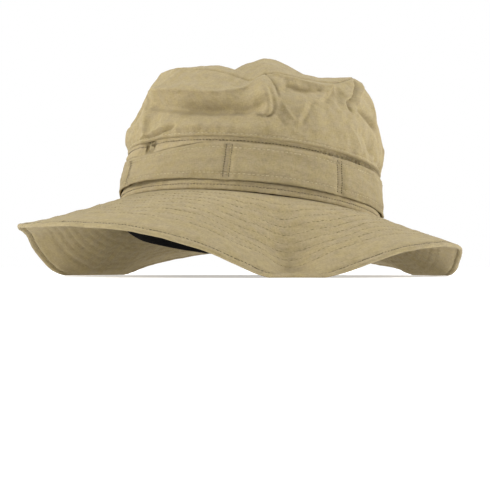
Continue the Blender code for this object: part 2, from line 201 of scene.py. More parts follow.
# Creases of the side wall: half width and push outwards of the line itself, push of its right side
# over its left, all in millimetres, then its way as azimuth in degrees and height share
SIDE_CREASES = (
    (5.0, 3.4, 0.0, (
        (205, 0.68), (220, 0.64), (236, 0.60), (250, 0.59), (258, 0.66), (265, 0.80), (270, 1.00),
    )),
    (1.8, 0.9, 0.0, (
        (212, 0.67), (224, 0.64), (238, 0.60), (251, 0.59), (258, 0.66), (265, 0.81), (269, 0.98),
    )),
    (4.6, -1.0, 0.5, ((206, 0.50), (220, 0.43), (234, 0.38), (246, 0.36), (258, 0.38), (268, 0.40))),
    (5.0, -2.1, 1.1, ((213, 0.44), (230, 0.38), (246, 0.35), (257, 0.37), (265, 0.38), (275, 0.39))),
    (5.4, -1.7, 0.5, ((236, 0.43), (250, 0.43), (258, 0.45), (266, 0.44), (274, 0.42))),
    (6.0, 1.6, 0.0, ((252, 0.66), (260, 0.64), (266, 0.60), (270, 0.54))),
    (4.6, 2.8, 0.0, ((270, 0.98), (271, 0.80), (272.2, 0.60), (273, 0.46))),
    (1.6, -2.8, 0.8, (
        (273, 0.74), (275, 0.56), (276, 0.46), (276, 0.38),
        (275, 0.31), (273, 0.29), (271, 0.32), (270, 0.38),
    )),
    (3.6, 2.2, 0.0, ((272.4, 0.70), (273.5, 0.56), (274.2, 0.44), (273.6, 0.31))),
    (1.4, -2.6, 0.7, ((271, 1.04), (273, 0.95), (275, 0.85), (277, 0.73), (278, 0.62), (278, 0.54))),
    (3.2, 2.6, 0.0, ((275, 1.00), (281, 0.95), (289, 0.95), (297, 0.92), (306, 0.92), (313, 0.97))),
    (5.0, -3.2, 0.0, ((280, 0.84), (285, 0.79), (290, 0.77), (297, 0.79), (305, 0.84))),
    (2.4, 2.8, 0.0, ((314, 0.99), (307, 0.87), (300, 0.75), (294, 0.56))),
    (3.4, -2.6, 0.0, ((313, 0.88), (306, 0.76), (299, 0.60))),
    (1.8, 1.8, 0.0, ((291, 0.66), (289, 0.50), (287, 0.34), (286, 0.20))),
    (2.2, -1.2, 0.0, ((294, 0.60), (291, 0.42), (288, 0.22))),
    (2.0, 1.6, 0.0, ((279, 0.52), (282, 0.40), (286, 0.24))),
    (2.2, -1.7, 0.0, ((277, 0.36), (280, 0.25), (283, 0.16))),
    (1.8, -3.6, 0.8, ((337, 0.98), (331, 0.88), (323, 0.79), (316, 0.70), (315, 0.63), (318, 0.55))),
    (2.0, -2.8, 0.6, ((320, 0.61), (327, 0.56), (333, 0.49), (338, 0.40))),
    (3.2, 2.6, 0.0, ((348, 0.97), (338, 0.90), (325, 0.76), (321, 0.68))),
    (1.8, 1.5, 0.0, ((234, 0.20), (226, 0.12), (218, 0.07), (208, 0.05))),
    (1.5, -2.4, 0.0, ((237, 0.15), (229, 0.08), (221, 0.03), (214, 0.01))),
    (1.8, -0.7, 0.0, ((251, 0.15), (249, 0.10), (246, 0.04))),
    (2.5, 3.0, 0.0, ((212, 0.66), (210, 0.50), (215, 0.32), (217, 0.14), (216, 0.04))),
    (3.6, -2.0, 0.0, ((196, 0.64), (194, 0.50), (200, 0.34), (208, 0.16))),
    (2.6, -1.8, 0.0, ((176, 0.50), (182, 0.41), (194, 0.26), (207, 0.12))),
    (2.0, 1.1, 0.0, ((188, 0.14), (197, 0.10), (206, 0.14))),
    (3.0, 1.3, 0.0, ((310, 0.42), (314, 0.34), (318, 0.20), (322, 0.06))),
    (3.0, -1.6, 0.0, ((320, 0.34), (327, 0.22), (334, 0.10))),
    (2.4, -1.8, 0.0, ((334, 0.08), (342, 0.05), (352, 0.05))),
    (2.0, 1.1, 0.0, ((345, 0.30), (351, 0.20), (356, 0.14))),
    (9.0, 2.6, 0.0, ((166, 0.34), (182, 0.33), (198, 0.30), (210, 0.28))),
    (9.0, -2.2, 0.0, ((-16, 0.84), (-6, 0.80), (4, 0.76), (14, 0.76))),
    (3.0, -2.2, 0.5, ((20, 0.92), (24, 0.70), (32, 0.52), (30, 0.36))),
    (5.0, 2.2, 0.0, ((40, 0.64), (66, 0.56), (90, 0.62))),
    (2.6, -2.0, 0.0, ((60, 0.40), (78, 0.34), (96, 0.38))),
    (3.0, -2.8, 0.6, ((104, 0.94), (108, 0.74), (118, 0.58), (116, 0.42))),
    (4.0, 2.2, 0.0, ((126, 0.88), (132, 0.66), (142, 0.48))),
    (2.4, -1.8, 0.0, ((138, 0.30), (152, 0.22), (168, 0.26))),
    (2.6, -1.8, 0.0, ((156, 0.80), (166, 0.64), (170, 0.46))),
)

# Creases of the tip panel, the same way, their points as shares of TIP_RADIUS to the right and back
TIP_CREASES = (
    (4.5, -1.2, 0.0, ((-0.14, -0.98), (-0.24, -0.62), (-0.34, -0.25), (-0.40, 0.10))),
    (10.0, -0.8, 0.0, ((0.16, -0.80), (0.18, -0.52), (0.20, -0.18), (0.20, 0.10))),
    (8.0, 0.9, 0.0, ((-0.06, -0.78), (-0.04, -0.50), (-0.02, -0.20), (0.00, 0.06))),
    (2.6, -1.8, 0.5, ((0.30, -0.72), (0.36, -0.40), (0.52, -0.16))),
    (3.0, -1.8, 0.0, ((-0.70, 0.02), (-0.44, 0.16), (-0.28, 0.38))),
    (3.4, 1.6, 0.0, ((-0.60, -0.30), (-0.30, -0.12), (-0.02, -0.08))),
    (2.8, -1.8, 0.0, ((0.10, 0.44), (0.34, 0.32), (0.60, 0.36))),
    (3.0, 1.5, 0.0, ((-0.12, 0.66), (0.14, 0.60), (0.38, 0.66))),
    (2.4, -1.5, 0.0, ((0.60, -0.20), (0.70, 0.04), (0.66, 0.26))),
)

# Creases of the brim, the same way, as azimuth and share of the cloth width from the seam
BRIM_CREASES = (
    (20.0, -4.0, 0.0, ((256, 0.54), (270, 0.60), (281, 0.63), (292, 0.60), (306, 0.54))),
    (0.8, -0.5, 0.0, ((264, 0.20), (267, 0.22), (269, 0.23))),
    (0.8, -0.6, 0.0, ((273, 0.23), (276, 0.24), (278, 0.24))),
    (0.8, -0.5, 0.0, ((282, 0.24), (285, 0.23), (288, 0.23))),
    (1.6, -0.4, 0.0, ((214, 0.10), (230, 0.13), (246, 0.12))),
    (1.8, 0.4, 0.0, ((206, 0.26), (226, 0.30), (250, 0.27))),
    (2.4, -1.9, 1.0, ((149, 0.94), (150, 0.40), (148, 0.06))),
    (2.2, -0.7, 0.0, ((120, 0.10), (117, 0.44), (121, 0.82))),
    (2.4, 0.7, 0.0, ((36, 0.12), (33, 0.48), (36, 0.86))),
    (2.0, -0.6, 0.0, ((339, 0.20), (342, 0.52), (340, 0.84))),
)

# Creases: how fast and how softly their crest falls, gain of their lip, shortest fade of their ends in
# metres and in half widths
CREST_FALL = 1.7
CREST_SOFTNESS = 0.30
LIP_GAIN = 2.3
CREASE_FADE = 0.006
CREASE_FADE_WIDTHS = 1.5

# Over what the creases come in: share of the side wall, way from the brim seam, height above the floor
DETAIL_HOLD = 0.064
BRIM_SEAM_HOLD = 0.008
FLOOR_HOLD = 0.004

# Unevenness of the cloth: seed, shortest and longest wave, factor on the y places, size
UNEVEN = {
    "side_crumple": (11, 0.010, 0.046, 1.0, 0.00042),
    "side_ridges": (12, 0.009, 0.032, 1.0, 0.00018),
    "side_puckers": (13, 0.0040, 0.0120, 0.25, 0.00022),
    "tip_crumple": (21, 0.012, 0.046, 1.0, 0.00055),
    "tip_ridges": (22, 0.009, 0.030, 1.0, 0.00020),
    "base_puckers": (31, 0.0034, 0.0100, 0.3, 0.00016),
    "pocket_gathers": (32, 0.0020, 0.0042, 0.0, 0.4),
    "band_gape": (41, 0.030, 0.090, 0.0, 1.0),
    "band_puckers": (42, 0.0035, 0.0090, 0.2, 0.00012),
    "band_crumple": (43, 0.014, 0.070, 3.0, 0.00034),
    "band_drift": (44, 0.050, 0.140, 0.0, 0.00045),
    "sweatband_slack": (51, 0.018, 0.060, 1.0, 1.0),
    "brim_puckers": (61, 0.0040, 0.0100, 0.5, 0.00011),
    "brim_slow": (62, 0.030, 0.110, 1.0, 0.00050),
    "brim_fine": (63, 0.012, 0.040, 2.2, 0.00016),
}

# Waves in each sum, gain that brings the sum to about unit size, lowest value between sharp ridges
WAVE_COUNT = 36
WAVE_GAIN = 1.6
RIDGED_LOW = -1.5

# Rolls and grooves that run round the cloth, each its height or depth and its half width
TIP_SEAM_DIP = (0.0011, 0.0009)
RIDGE_ROLL = (0.0006, 0.0010)
RIDGE_TUCK = (0.0006, 0.0006)
RIDGE_ROW_GROOVE = (0.0004, 0.0007)
CHANNEL_GROOVE = (0.0011, 0.0017)
SAG_GROOVE = (0.0017, 0.0009)
BAND_ROW_GROOVE = (0.00022, 0.0009)
BAR_LINE_GROOVE = (0.0004, 0.0006)
STRIP_ROW_GROOVE = (0.0004, 0.0006)
STRIP_FOOT_GROOVE = (0.0006, 0.0007)
BRIM_SEAM_GROOVE = (0.0005, 0.0020)
RIM_ROW_GROOVE = (0.00060, 0.0008)
SWEATBAND_HEM = (0.0003, 0.0010)

# Ridge over the channel: height of its roll and of its stitch row, height and reach of its puckers.
# The band's puckers have the same reach.
RIDGE_ROLL_HEIGHT = 0.0011
RIDGE_ROW_HEIGHT = 0.0026
PUCKER_HEIGHT = 0.0040
PUCKER_REACH = 0.0060

# Channel between the ridge and the band: its stitch row's place below the ridge seam, then the azimuth,
# height, half length and half height of its bulge at the left
CHANNEL_ROW_INSET = 0.0021
CHANNEL_BULGE = (196.0, 0.0018, 0.030, 0.0065)

# Gathered hollows of the channel: azimuth, drop below the ridge seam, half length, half height and depth
POCKETS = (
    (217.5, 0.0044, 0.0085, 0.0052, 0.0070),
    (320.0, 0.0026, 0.0340, 0.0028, 0.0026),
)

# Sag of the band's top edge at the front left: depth, azimuth and spread, power of its curve, how far
# the edge stands out there, sag at which the groove over it is full, height of that groove
BAND_SAG = 0.0060
SAG_AZIMUTH = 215.0
SAG_SPREAD = 37.0
SAG_POWER = 1.2
SAG_EDGE = 0.0006
SAG_START = 0.0010
SAG_GROOVE_HEIGHT = 0.0003

# Band: outward belly between its edges, gape of its free lower edge, and its two stitch rows
BAND_BELLY = 0.0009
BAND_GAPE = 0.00055
BAND_TOP_INSET = 0.0031
BAND_FOOT_INSET = 0.0036

# Stitched bars of the band: azimuths, half width and depth of the pinch, gap between the two lines,
# share of the band's height where lines and rungs start and end, rungs and stitch pitch
BAR_AZIMUTHS = (206.0, 260.2, 307.0, 358.0, 50.0, 101.0, 153.0)
BAR_REACH = 0.0036
BAR_PINCH = 0.0004
BAR_GAP = 0.0040
BAR_ENDS = (0.05, 0.985)
RUNG_ENDS = (0.07, 0.965)
BAR_RUNGS = 21
BAR_PITCH = 0.0017

# Strip under the band: how far its foot is tucked below the brim seam, heights of its stitch row and
# of its top, fade of its top, how far it stands out, middle and spread of the place at the front
# left where it lies flat
FOOT_TUCK = 0.0009
STRIP_ROW_HEIGHT = 0.0025
STRIP_TOP = 0.0054
STRIP_TOP_FADE = 0.0011
STRIP_PROUD = 0.0013
STRIP_SHADE_AZIMUTH = 214.0
STRIP_SHADE_SPREAD = 28.0

# Sweatband: slack of the cloth and place of its hem row above the lower edge
SWEATBAND_SLACK = 0.0008
HEM_HEIGHT = 0.0035

# Quilting of the brim: its rows' pitch and number, inset of the row along the rim and gap inside it,
# puff between the rows, depth, reach and power of the rows' grooves, reach of their puckers, and how
# much more the underside is quilted
BRIM_ROW_PITCH = 0.0061
BRIM_ROWS = 9
RIM_ROW_INSET = 0.0025
RIM_GAP = 0.0160
QUILT_PUFF = 0.00012
QUILT_GROOVE = 0.00024
QUILT_REACH = 0.0010
QUILT_POWER = 1.5
QUILT_PUCKER_REACH = 0.0024
UNDERSIDE_PUFF = 2.5

# Stitches: wide and close pitch, share of the pitch that shows, unevenness of their ends with its
# seed, the thread, and its rings as way along the stitch, thickness and height, the last two in radii
# of the thread
STITCH_PITCH = 0.0031
ROW_PITCH = 0.0024
STITCH_COVER = 0.70
STITCH_WOBBLE = 0.00022
STITCH_SEED = 7
THREAD_RADIUS = 0.00024
THREAD_SIDES = 5
THREAD_RINGS = (
    (0.00, 0.45, -0.55),
    (0.16, 0.95, 0.30),
    (0.50, 1.05, 0.50),
    (0.84, 0.95, 0.30),
    (1.00, 0.45, -0.55),
)

# Mesh steps: points round each piece and round its edges, marks along the front of the crown's pieces
# with the rows between them, rows of the other fronts and of the backs, spacing of the brim's rows,
# steps along the stitched rows, bar lines and rungs, steps round the wall that is measured
AROUND = 560
EDGE_STEPS = 4
SIDE_MARKS = (0.0, 0.10, 0.95, 1.0)
SIDE_ROWS = (14, 66, 7)
SIDE_BACK_ROWS = 24
TIP_MARKS = (0.0, 0.06, 0.985)
TIP_ROWS = (7, 51)
TIP_BACK_ROWS = 20
BASE_ROWS = 76
BAND_ROWS = 50
SWEATBAND_ROWS = 30
RING_BACK_ROWS = 8
BRIM_ROW_SPACING = 0.00115
ROW_STEPS = 1440
BAR_STEPS = 59
RUNG_STEPS = 5
MEASURE_STEPS = 720

# One turn in radians, then the ways round the crown and round the middle of the brim, along which
# flat places are measured
TURN = 2.0 * math.pi
CROWN_TURN = TURN * CROWN_RADIUS
BRIM_MIDDLE = 1.4 * CROWN_RADIUS
BRIM_TURN = TURN * BRIM_MIDDLE

# The viewer
CAMERA_DISTANCE = 0.800
CAMERA_HEIGHT = 0.006
CAMERA_SIDE = -0.0041
CAMERA_PITCH = math.radians(1.23)
CAMERA_LENS = 78.4
SENSOR_WIDTH = 36.0

# White, which as a factor changes no colour
WHITE = (1.0, 1.0, 1.0)

# Colours of the cloths, light and dark, and how much their thicker threads stand out
KHAKI_CLOTHS = {
    "crown_cotton": ((0.450, 0.366, 0.209), (0.352, 0.282, 0.154), 0.15),
    "band_cotton": ((0.410, 0.333, 0.190), (0.322, 0.258, 0.141), 0.14),
    # The lower wall's cotton, strip and channel, is a few per cent lighter than the crown's: painted light
    # that offsets the shade under the band
    "base_cotton_with_painted_light": ((0.474, 0.384, 0.223), (0.370, 0.295, 0.165), 0.15),
    "brim_cotton": ((0.438, 0.357, 0.205), (0.343, 0.276, 0.152), 0.15),
}
KNIT_LIGHT = (0.013, 0.012, 0.012)
KNIT_DARK = (0.0035, 0.0032, 0.0034)

# Colours of the threads, light and dark
THREADS = {
    "pale_thread": ((0.52, 0.44, 0.28), (0.36, 0.30, 0.175)),
    "brim_thread": ((0.335, 0.270, 0.148), (0.262, 0.210, 0.112)),
    "dull_thread": ((0.200, 0.162, 0.092), (0.130, 0.104, 0.058)),
    "rung_thread": ((0.295, 0.235, 0.150), (0.225, 0.178, 0.112)),
    # Dark thread, also used on the channel's row as painted shade of the channel
    "dark_thread": ((0.120, 0.094, 0.054), (0.074, 0.058, 0.033)),
    "black_thread": ((0.016, 0.016, 0.018), (0.006, 0.006, 0.007)),
}

# Noise of the materials: its stretch, which is none where it is even, then scale, detail, roughness
EVEN = (1.0, 1.0, 1.0)
MOTTLE = (EVEN, 70.0, 8.0, 0.72)
CRUMPLE = (EVEN, 160.0, 3.0, 0.5)
STREAKS = (((260.0, 1500.0, 1.0), 1.0, 3.0, 0.6), ((1500.0, 260.0, 1.0), 1.0, 3.0, 0.6))
THREAD_FLECK = (EVEN, 900.0, 2.0, 0.6)
KNIT_FUZZ = (EVEN, 700.0, 4.0, 0.7)
KNIT_RIBS = ((1400.0, 160.0, 1.0), 1.0, 2.0, 0.5)
PAPER_GRAIN = (EVEN, 300.0, 2.0, 0.5)

# Flecks over the cloth's colour: their noise, its low and high mark, the factor on the colour at each
FLECKS = (
    (((1.0, 1.3, 1.0), 760.0, 2.0, 0.6), (0.30, 0.70), ((0.84, 0.84, 0.83), WHITE)),
    (((1.0, 1.4, 1.0), 260.0, 3.0, 0.6), (0.30, 0.70), ((0.86, 0.86, 0.85), WHITE)),
    ((EVEN, 150.0, 2.0, 0.5), (0.35, 0.65), ((1.00, 0.99, 0.90), (0.97, 0.97, 1.00))),
)

# Marks of the noise at which the cloth's dark, middle and light colours lie, and how much of the colour
# the streaks give
MOTTLE_MARKS = (0.30, 0.52, 0.72)
STREAK_MARKS = (0.34, 0.50, 0.66)
STREAK_SHARE = 0.45

# Relief of the materials: its strength and height, then the spacing of the cloth's threads
CRUMPLE_RELIEF = (0.35, 0.0008)
STREAK_RELIEF = (0.30, 0.00016)
WEAVE_RELIEF = (0.35, 0.00008)
THREAD_RELIEF = (0.4, 0.0001)
FUZZ_RELIEF = (0.3, 0.0002)
RIB_RELIEF = (0.4, 0.0002)
THREAD_SPACING = 0.00042

# Floor: half of its side, its gap under the hat, its two greys, its glow under the hat and far away,
# and the distances between which the glow grows
FLOOR_HALF = 12.0
FLOOR_GAP = 0.0002
PAPER_DARK = (0.885, 0.885, 0.885)
PAPER_LIGHT = (0.905, 0.905, 0.905)
FLOOR_GLOW = 0.49
FAR_FLOOR_GLOW = 1.05
FLOOR_NEAR = 0.5
FLOOR_FAR = 1.3

# Studio: brightness of the dim walls, ways of a unit direction backwards over which they turn white and
# upwards over which they turn dim, the lights' aim, then each light's name, place, size and power
DIM_WALLS = 0.10
BACK_WALL = (0.45, 0.85)
WALL_FOOT = (0.02, 0.22)
LIGHT_AIM = (0.0, 0.0, 0.08)
LIGHTS = (
    ("left", (-1.22, -0.42, 0.90), 0.8, 22.4),
    ("right", (1.25, -0.12, 0.75), 0.8, 17.4),
    ("top", (0.10, -0.20, 1.60), 1.0, 8.6),
)


# Reading the tables

def smooth_around(table, column, azimuth):
    """Read one column of a table at each azimuth, smoothly and without overshoot."""
    rows = sorted(table)
    knots = np.array([math.radians(row[0]) for row in rows])
    values = np.array([row[column] for row in rows], dtype=float)
    knots = np.concatenate((knots[-2:] - TURN, knots, knots[:2] + TURN))
    values = np.concatenate((values[-2:], values, values[:2]))
    steps = np.diff(knots)
    rises = np.diff(values) / steps
    slopes = np.zeros(len(knots))
    for i in range(1, len(knots) - 1):
        before = rises[i - 1]
        after = rises[i]
        if before * after > 0.0:
            slopes[i] = 2.0 * before * after / (before + after)
    angle = np.mod(azimuth, TURN)
    index = np.clip(np.searchsorted(knots, angle, side="right") - 1, 1, len(knots) - 3)
    width = steps[index]
    t = (angle - knots[index]) / width
    start = (1.0 + 2.0 * t) * (1.0 - t) ** 2 * values[index]
    start_slope = t * (1.0 - t) ** 2 * width * slopes[index]
    end = t * t * (3.0 - 2.0 * t) * values[index + 1]
    end_slope = t * t * (t - 1.0) * width * slopes[index + 1]
    return start + start_slope + end + end_slope


def eased(value):
    """0 below zero, 1 above one and smooth between."""
    t = np.clip(value, 0.0, 1.0)
    return t * t * (3.0 - 2.0 * t)


def fading(away, reach):
    """1 on a line, fading to both sides of it."""
    return np.exp(-(away / reach) ** 2)


def swell(away, form):
    """Height of a roll, or depth of a groove, at a distance from its middle line."""
    size, half_width = form
    return size * fading(away, half_width)


def turn_from(azimuth, degrees):
    """Turn from a place given in degrees, between minus and plus half a turn, in radians."""
    return np.mod(azimuth - math.radians(degrees) + math.pi, TURN) - math.pi


def oval_bump(along, across, half_length, half_width):
    """A soft bump, 1 in its middle."""
    return np.exp(-(along / half_length) ** 2 - (across / half_width) ** 2)


def slanted(x, y, degrees):
    """Places along and aside of a line that slants from level."""
    tilt = math.radians(degrees)
    along = x * math.cos(tilt) + y * math.sin(tilt)
    return along, y * math.cos(tilt) - x * math.sin(tilt)


def rounded_way(points):
    """The points of a way, as complex numbers, with its corners cut twice."""
    for _ in range(2):
        cut = [points[0]]
        for low, high in zip(points[:-1], points[1:]):
            cut += [0.75 * low + 0.25 * high, 0.25 * low + 0.75 * high]
        points = cut + [points[-1]]
    return points


def crease_push(place, points, half_width, depth, lip):
    """Push of one crease at flat places, as complex numbers in metres. Both its ends fade out."""
    nearest = np.full(place.shape, np.inf)
    signed = np.zeros(place.shape)
    way = np.zeros(place.shape)
    walked = 0.0
    points = rounded_way(points)
    for start, end in zip(points[:-1], points[1:]):
        length = abs(end - start)
        local = (place - start) * (end - start).conjugate() / length
        t = np.clip(local.real, 0.0, length)
        distance = np.abs(local - t)
        closer = distance < nearest
        nearest = np.where(closer, distance, nearest)
        signed = np.where(closer, -np.sign(local.imag) * distance, signed)
        way = np.where(closer, walked + t, way)
        walked += length
    fade = min(max(CREASE_FADE, CREASE_FADE_WIDTHS * half_width), walked / 3.0)
    ends = eased(way / fade) * eased((walked - way) / fade)
    reach = signed / half_width
    crest = np.exp(CREST_FALL * (CREST_SOFTNESS - np.hypot(reach, CREST_SOFTNESS)))
    return (depth * crest + lip * LIP_GAIN * reach * fading(reach, 1.0)) * ends


def creases(table, x, y, across, up, turn=0.0):
    """Sum of a table's creases at flat places.

    across and up are the lengths of the table's two units. turn is the length of one turn in x, or
    zero on a flat panel.
    """
    total = np.zeros(np.broadcast(x, y).shape)
    for half_width, depth, lip, way in table:
        points = [complex(place * across, height * up) for place, height in way]
        local = x - points[0].real
        if turn > 0.0:
            local = np.mod(local + turn / 2.0, turn) - turn / 2.0
        flat = local + points[0].real + 1j * y
        total = total + crease_push(flat, points, half_width * 1e-3, depth * 1e-3, lip * 1e-3)
    return total


def ripples(x, y, name, turn):
    """Even noise of about unit size from a sum of waves, seamless over one turn in x."""
    seed, shortest, longest, stretch, _ = UNEVEN[name]
    random = np.random.default_rng(seed)
    total = np.zeros(np.broadcast(x, y).shape)
    for _ in range(WAVE_COUNT):
        length = shortest * (longest / shortest) ** random.random()
        heading = random.random() * math.pi
        wave_x = round(math.cos(heading) / length * turn) / turn
        wave_y = math.sin(heading) / length * stretch
        phase = random.random() * TURN
        size = math.sqrt(length / longest)
        total = total + size * np.cos(TURN * (wave_x * x + wave_y * y) + phase)
    return total * WAVE_GAIN / math.sqrt(WAVE_COUNT)


def uneven(x, y, name, turn=CROWN_TURN):
    """Soft unevenness of the named kind."""
    return UNEVEN[name][-1] * ripples(x, y, name, turn)


def ridged(x, y, name, turn=CROWN_TURN):
    """Unevenness of the named kind with sharp ridges."""
    sharp = 1.0 - 2.0 * np.abs(ripples(x, y, name, turn))
    return UNEVEN[name][-1] * np.clip(sharp, RIDGED_LOW, 1.0)


# Surfaces of the cloth: the CAD source's forms with finer ones on them

def turned(x, y, z):
    """Stand the hat's own frame, whose zero is the middle of the brim seam, over the floor."""
    rolled_x = x * math.cos(ROLL_RIGHT) + z * math.sin(ROLL_RIGHT)
    rolled_z = z * math.cos(ROLL_RIGHT) - x * math.sin(ROLL_RIGHT)
    leant_y = y * math.cos(LEAN_BACK) + rolled_z * math.sin(LEAN_BACK)
    leant_z = rolled_z * math.cos(LEAN_BACK) - y * math.sin(LEAN_BACK)
    return np.stack((rolled_x, leant_y, leant_z + SEAM_HEIGHT), axis=-1)


def hat_point(azimuth, radius, height):
    """A point of the hat at an azimuth, radius and height of its own frame, stood over the floor."""
    return turned(radius * np.cos(azimuth), radius * np.sin(azimuth), height)


def base_radius(azimuth):
    """Outer radius of the lower wall: a slightly long oval."""
    return CROWN_RADIUS * (1.0 - HEAD_OVAL * np.cos(2.0 * azimuth))


def side_fold(azimuth, share):
    """Outward push of the side wall's broad folds."""
    wall = SIDE_WALL_HEIGHT / CROWN_RADIUS
    total = np.zeros(np.broadcast(azimuth, share).shape)
    for centre, height, half_length, half_width, slant, depth in SIDE_FOLDS:
        along, aside = slanted(turn_from(azimuth, centre), (share - height) * wall, slant)
        total = total + depth * oval_bump(along, aside, half_length, half_width)
    return CROWN_RADIUS * total * eased(share / SEAM_HOLD)


def side_detail(azimuth, share):
    """Outward push of the side wall's creases, crumple and puckers."""
    x = azimuth * CROWN_RADIUS
    y = share * SIDE_WALL_HEIGHT
    total = creases(SIDE_CREASES, x, y, math.radians(CROWN_RADIUS), SIDE_WALL_HEIGHT, CROWN_TURN)
    total = total + uneven(x, y, "side_crumple") + ridged(x, y, "side_ridges")
    total = total + uneven(x, y, "side_puckers") * fading(y - PUCKER_HEIGHT, PUCKER_REACH)
    return total * eased(share / DETAIL_HOLD)


def ridge_roll(share):
    """Outward push of the rolled edge over the channel."""
    up = share * SIDE_WALL_HEIGHT
    roll = swell(up - RIDGE_ROLL_HEIGHT, RIDGE_ROLL)
    return roll - swell(up - RIDGE_ROW_HEIGHT, RIDGE_ROW_GROOVE) - swell(up, RIDGE_TUCK)


def side_push(azimuth, share):
    """All outward push of the side wall."""
    return side_fold(azimuth, share) + side_detail(azimuth, share) + ridge_roll(share)


def side_foot(azimuth):
    """Radius and height of the side wall's lower edge."""
    low = RIDGE_SEAM_HEIGHT
    return base_radius(azimuth) - WALL_TAPER * low + RIDGE_PROUD, low + CLEARANCE


def tip_edge(azimuth):
    """Smooth radius and height of the tip panel's edge."""
    radius = TIP_RADIUS * smooth_around(TIP_EDGE, 2, azimuth)
    height = CROWN_HEIGHT * smooth_around(TIP_EDGE, 1, azimuth)
    return radius, height


def side_surface(azimuth, share):
    """Outer face of the side wall, from the ridge seam (0) to the tip edge (1)."""
    foot, low = side_foot(azimuth)
    edge, top = tip_edge(azimuth)
    fullness = smooth_around(TIP_EDGE, 3, azimuth)
    dip = swell((1.0 - share) * SIDE_WALL_HEIGHT, TIP_SEAM_DIP)
    radius = edge + (foot - edge) * (1.0 - share ** fullness) + side_push(azimuth, share)
    radius = radius - dip * math.cos(TIP_MITRE)
    return hat_point(azimuth, radius, low + (top - low) * share - dip * math.sin(TIP_MITRE))


def tip_joint(azimuth, away):
    """Front and back edge rings where side wall and tip panel meet, cut on one mitre.

    away is 1 for the tip panel's side of the clearance and -1 for the side wall's.
    """
    radius, height = tip_edge(azimuth)
    radius = radius + side_push(azimuth, np.ones_like(azimuth))
    shift = away * CLEARANCE / 2.0
    rings = []
    for depth in (TIP_SEAM_DIP[0], CROWN_CLOTH):
        ring_radius = radius - depth * math.cos(TIP_MITRE) - shift * math.sin(TIP_MITRE)
        ring_height = height - depth * math.sin(TIP_MITRE) + shift * math.cos(TIP_MITRE)
        rings.append(hat_point(azimuth, ring_radius, ring_height))
    return rings


def tip_surface(azimuth, share):
    """Outer face of the tip panel, from its edge (0) to its middle (1)."""
    edge_radius, edge_height = tip_edge(azimuth)
    edge_radius = edge_radius + side_push(azimuth, np.ones_like(azimuth))
    out = 1.0 - share
    dip = swell(share * TIP_RADIUS, TIP_SEAM_DIP)
    radius = edge_radius * out - dip * math.cos(TIP_MITRE) * out
    x = radius * np.cos(azimuth)
    y = radius * np.sin(azimuth)
    height = CROWN_HEIGHT + (edge_height - CROWN_HEIGHT) * out ** 3
    dent = np.zeros(np.broadcast(azimuth, share).shape)
    for right, back, half_length, half_width, slant, depth in TIP_DENTS:
        along, aside = slanted(x / TIP_RADIUS - right, y / TIP_RADIUS - back, slant)
        dent = dent + depth * oval_bump(along, aside, half_length, half_width)
    fine = creases(TIP_CREASES, x, y, TIP_RADIUS, TIP_RADIUS)
    fine = fine + uneven(x, y, "tip_crumple", 1.0) + ridged(x, y, "tip_ridges", 1.0)
    hold = 1.0 - out ** 6
    return turned(x, y, height + (CROWN_HEIGHT * dent + fine) * hold - dip * math.sin(TIP_MITRE))


def wall_surface(azimuth, height, outward):
    """A point of the upright wall round the head at a height, standing outward of the lower wall."""
    return hat_point(azimuth, base_radius(azimuth) - WALL_TAPER * np.maximum(height, 0.0) + outward, height)


def band_sag(azimuth):
    """How far the band's top edge hangs down at the front left."""
    away = turn_from(azimuth, SAG_AZIMUTH) / math.radians(SAG_SPREAD)
    return BAND_SAG * np.clip(1.0 - away ** 2, 0.0, 1.0) ** SAG_POWER


def base_surface(azimuth, share):
    """Outer face of the lower wall: the stitched strip at its foot and the puckered channel above."""
    seam = RIDGE_SEAM_HEIGHT
    height = share * (seam + FOOT_TUCK) - FOOT_TUCK
    x = azimuth * CROWN_RADIUS
    shaded = fading(turn_from(azimuth, STRIP_SHADE_AZIMUTH), math.radians(STRIP_SHADE_SPREAD))
    strip = STRIP_PROUD * (1.0 - shaded) * (1.0 - eased((height - STRIP_TOP) / STRIP_TOP_FADE))
    strip = strip - swell(height + FOOT_TUCK, STRIP_FOOT_GROOVE)
    strip = strip - swell(height - STRIP_ROW_HEIGHT, STRIP_ROW_GROOVE)
    row = seam - CHANNEL_ROW_INSET
    channel = -swell(height - row, CHANNEL_GROOVE)
    gathers = 1.0 + uneven(x, height, "pocket_gathers")
    for place, drop, half_length, half_height, depth in POCKETS:
        along = turn_from(azimuth, place) * CROWN_RADIUS
        hollow = oval_bump(along, height - seam + drop, half_length, half_height)
        channel = channel - depth * hollow * gathers
    sag = band_sag(azimuth)
    groove = height - (STRIP_HEIGHT + BAND_HEIGHT - sag) - SAG_GROOVE_HEIGHT
    channel = channel - eased(sag / SAG_START) * swell(groove, SAG_GROOVE)
    place, rise, half_length, half_height = CHANNEL_BULGE
    along = turn_from(azimuth, place) * CROWN_RADIUS
    channel = channel + rise * oval_bump(along, height - row + half_height / 2.0, half_length, half_height)
    return wall_surface(azimuth, height, strip + channel + uneven(x, height, "base_puckers"))


def bar_pinch(azimuth):
    """1 on the band's stitched bars and 0 between them, and the grooves of their two lines."""
    wide = np.zeros(np.shape(azimuth))
    lines = np.zeros(np.shape(azimuth))
    for bar in BAR_AZIMUTHS:
        away = turn_from(azimuth, bar) * CROWN_RADIUS
        wide = wide + fading(away, BAR_REACH)
        lines = lines + swell(np.abs(away) - BAR_GAP / 2.0, BAR_LINE_GROOVE)
    return wide, lines


